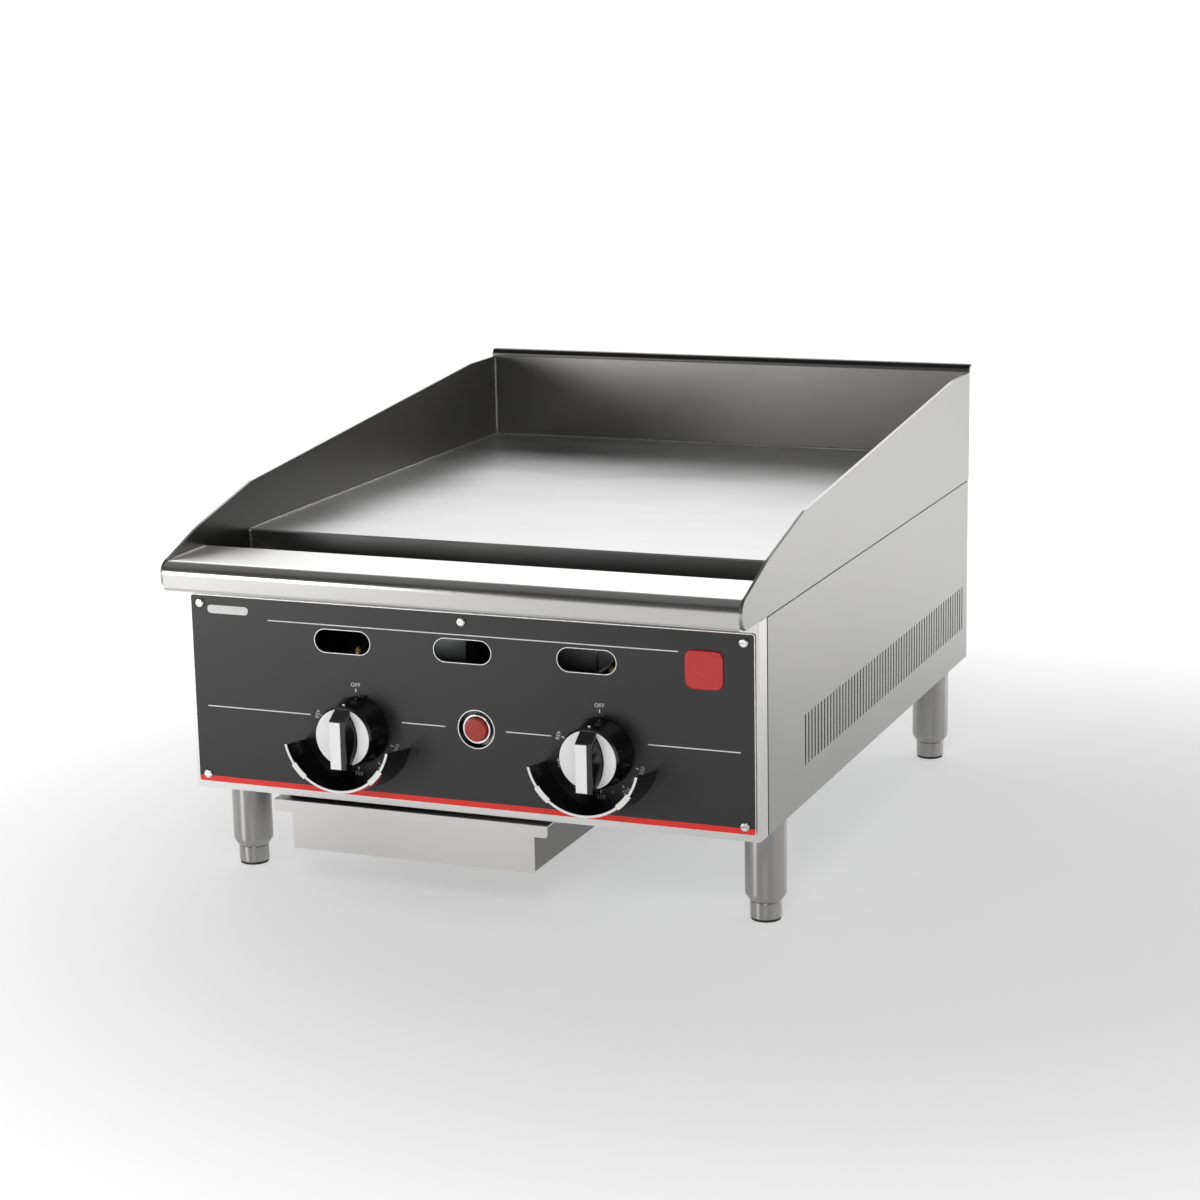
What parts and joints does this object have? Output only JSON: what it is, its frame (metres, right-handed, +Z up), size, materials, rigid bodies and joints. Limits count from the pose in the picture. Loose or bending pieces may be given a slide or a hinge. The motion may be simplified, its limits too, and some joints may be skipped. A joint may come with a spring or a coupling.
{
  "type": "countertop gas griddle",
  "caption": "Countertop gas griddle: thick flat plate inside splash guards, front grease trough draining to a drawer, thermostat knobs with guards, on adjustable legs.",
  "frame": {"origin": "on the counter, under the middle of the overall footprint (rail nose to rolled back lip, splash to splash)", "axes": "+Z up, +Y to the rear, +X to the right as seen by the cook standing in front"},
  "size_m": [0.6096, 0.828, 0.4525],
  "materials": {
    "stainless_sheet": "brushed satin grain",
    "ground_plate": "ground bright",
    "fascia_paint": "satin black with thin white lines and a red band",
    "black_phenolic": "gloss black",
    "bright_inlay": "bright satin silver",
    "red_cap": "semi-gloss red",
    "bright_ring": "bright",
    "screw_zinc": "bright zinc",
    "foot_rubber": "matte",
    "leg_steel": "turned satin",
    "burner_steel": "heat-stained",
    "brass_fitting": "turned",
    "gas_pipe": "black pipe",
    "valve_body": "die-cast",
    "thin_tube": "bright drawn",
    "spring_steel": "drawn wire",
    "galvanised_sheet": "galvanised"
  },
  "bodies": {
    "chassis": {"griddle_plate": "ground_plate", "left_splash": "stainless_sheet", "right_splash": "stainless_sheet", "back_splash": "stainless_sheet", "front_rail": "stainless_sheet", "grease_trough": "stainless_sheet", "drain_plate": "stainless_sheet", "drain_chute": "galvanised_sheet", "left_side_panel": "stainless_sheet", "right_side_panel": "stainless_sheet", "rear_panel": "galvanised_sheet", "front_panel": "stainless_sheet", "fascia": "fascia_paint", "fascia_screws": "screw_zinc", "bottom_pan": "galvanised_sheet", "heat_shield": "galvanised_sheet", "burner_support_front": "galvanised_sheet", "burner_support_rear": "galvanised_sheet", "left_knob_guard": "black_phenolic", "right_knob_guard": "black_phenolic", "left_thermostat": "valve_body", "right_thermostat": "valve_body", "safety_valve": "valve_body", "reset_bezel": "bright_ring", "gas_manifold": "gas_pipe", "inlet_pipe": "gas_pipe", "left_burner": "burner_steel", "right_burner": "burner_steel", "left_orifice_hood": "brass_fitting", "right_orifice_hood": "brass_fitting", "left_pilot_burner": "brass_fitting", "right_pilot_burner": "brass_fitting", "pilot_tubing": "thin_tube", "thermocouple": "thin_tube", "left_thermostat_bulb": "thin_tube", "right_thermostat_bulb": "thin_tube", "left_drawer_rail": "galvanised_sheet", "right_drawer_rail": "galvanised_sheet", "front_left_leg": "leg_steel", "front_right_leg": "leg_steel", "rear_left_leg": "leg_steel", "rear_right_leg": "leg_steel"},
    "left_knob_body": {"left_knob": "black_phenolic", "left_knob_face": "bright_inlay", "left_thermostat_stem": "spring_steel"},
    "right_knob_body": {"right_knob": "black_phenolic", "right_knob_face": "bright_inlay", "right_thermostat_stem": "spring_steel"},
    "reset_button_body": {"reset_button": "red_cap", "reset_spring": "spring_steel"},
    "drawer_body": {"grease_drawer_tray": "stainless_sheet", "grease_drawer_front": "stainless_sheet"},
    "front_left_foot_body": {"front_left_foot": "leg_steel", "front_left_foot_pad": "foot_rubber"},
    "front_right_foot_body": {"front_right_foot": "leg_steel", "front_right_foot_pad": "foot_rubber"},
    "rear_left_foot_body": {"rear_left_foot": "leg_steel", "rear_left_foot_pad": "foot_rubber"},
    "rear_right_foot_body": {"rear_right_foot": "leg_steel", "rear_right_foot_pad": "foot_rubber"}
  },
  "joints": [
    {"name": "left_knob_turn", "type": "hinge", "parent": "chassis", "child": "left_knob_body", "pos_m": [-0.1175, -0.366, 0.1775], "axis": [0, 1, 0], "range_deg": [0, 286]},
    {"name": "right_knob_turn", "type": "hinge", "parent": "chassis", "child": "right_knob_body", "pos_m": [0.143, -0.366, 0.1775], "axis": [0, 1, 0], "range_deg": [0, 286]},
    {"name": "reset_button_press", "type": "slide", "parent": "chassis", "child": "reset_button_body", "axis": [0, 1, 0], "range_m": [0, 0.004], "stiffness_N_per_m": 600, "springref_m": -0.003, "deforming": ["reset_spring"]},
    {"name": "drawer_slide", "type": "slide", "parent": "chassis", "child": "drawer_body", "axis": [0, -1, 0], "range_m": [0, 0.5]},
    {"name": "front_left_foot_screw", "type": "slide", "parent": "chassis", "child": "front_left_foot_body", "axis": [0, 0, -1], "range_m": [0, 0.019]},
    {"name": "front_right_foot_screw", "type": "slide", "parent": "chassis", "child": "front_right_foot_body", "axis": [0, 0, -1], "range_m": [0, 0.019]},
    {"name": "rear_left_foot_screw", "type": "slide", "parent": "chassis", "child": "rear_left_foot_body", "axis": [0, 0, -1], "range_m": [0, 0.019]},
    {"name": "rear_right_foot_screw", "type": "slide", "parent": "chassis", "child": "rear_right_foot_body", "axis": [0, 0, -1], "range_m": [0, 0.019]}
  ]
}
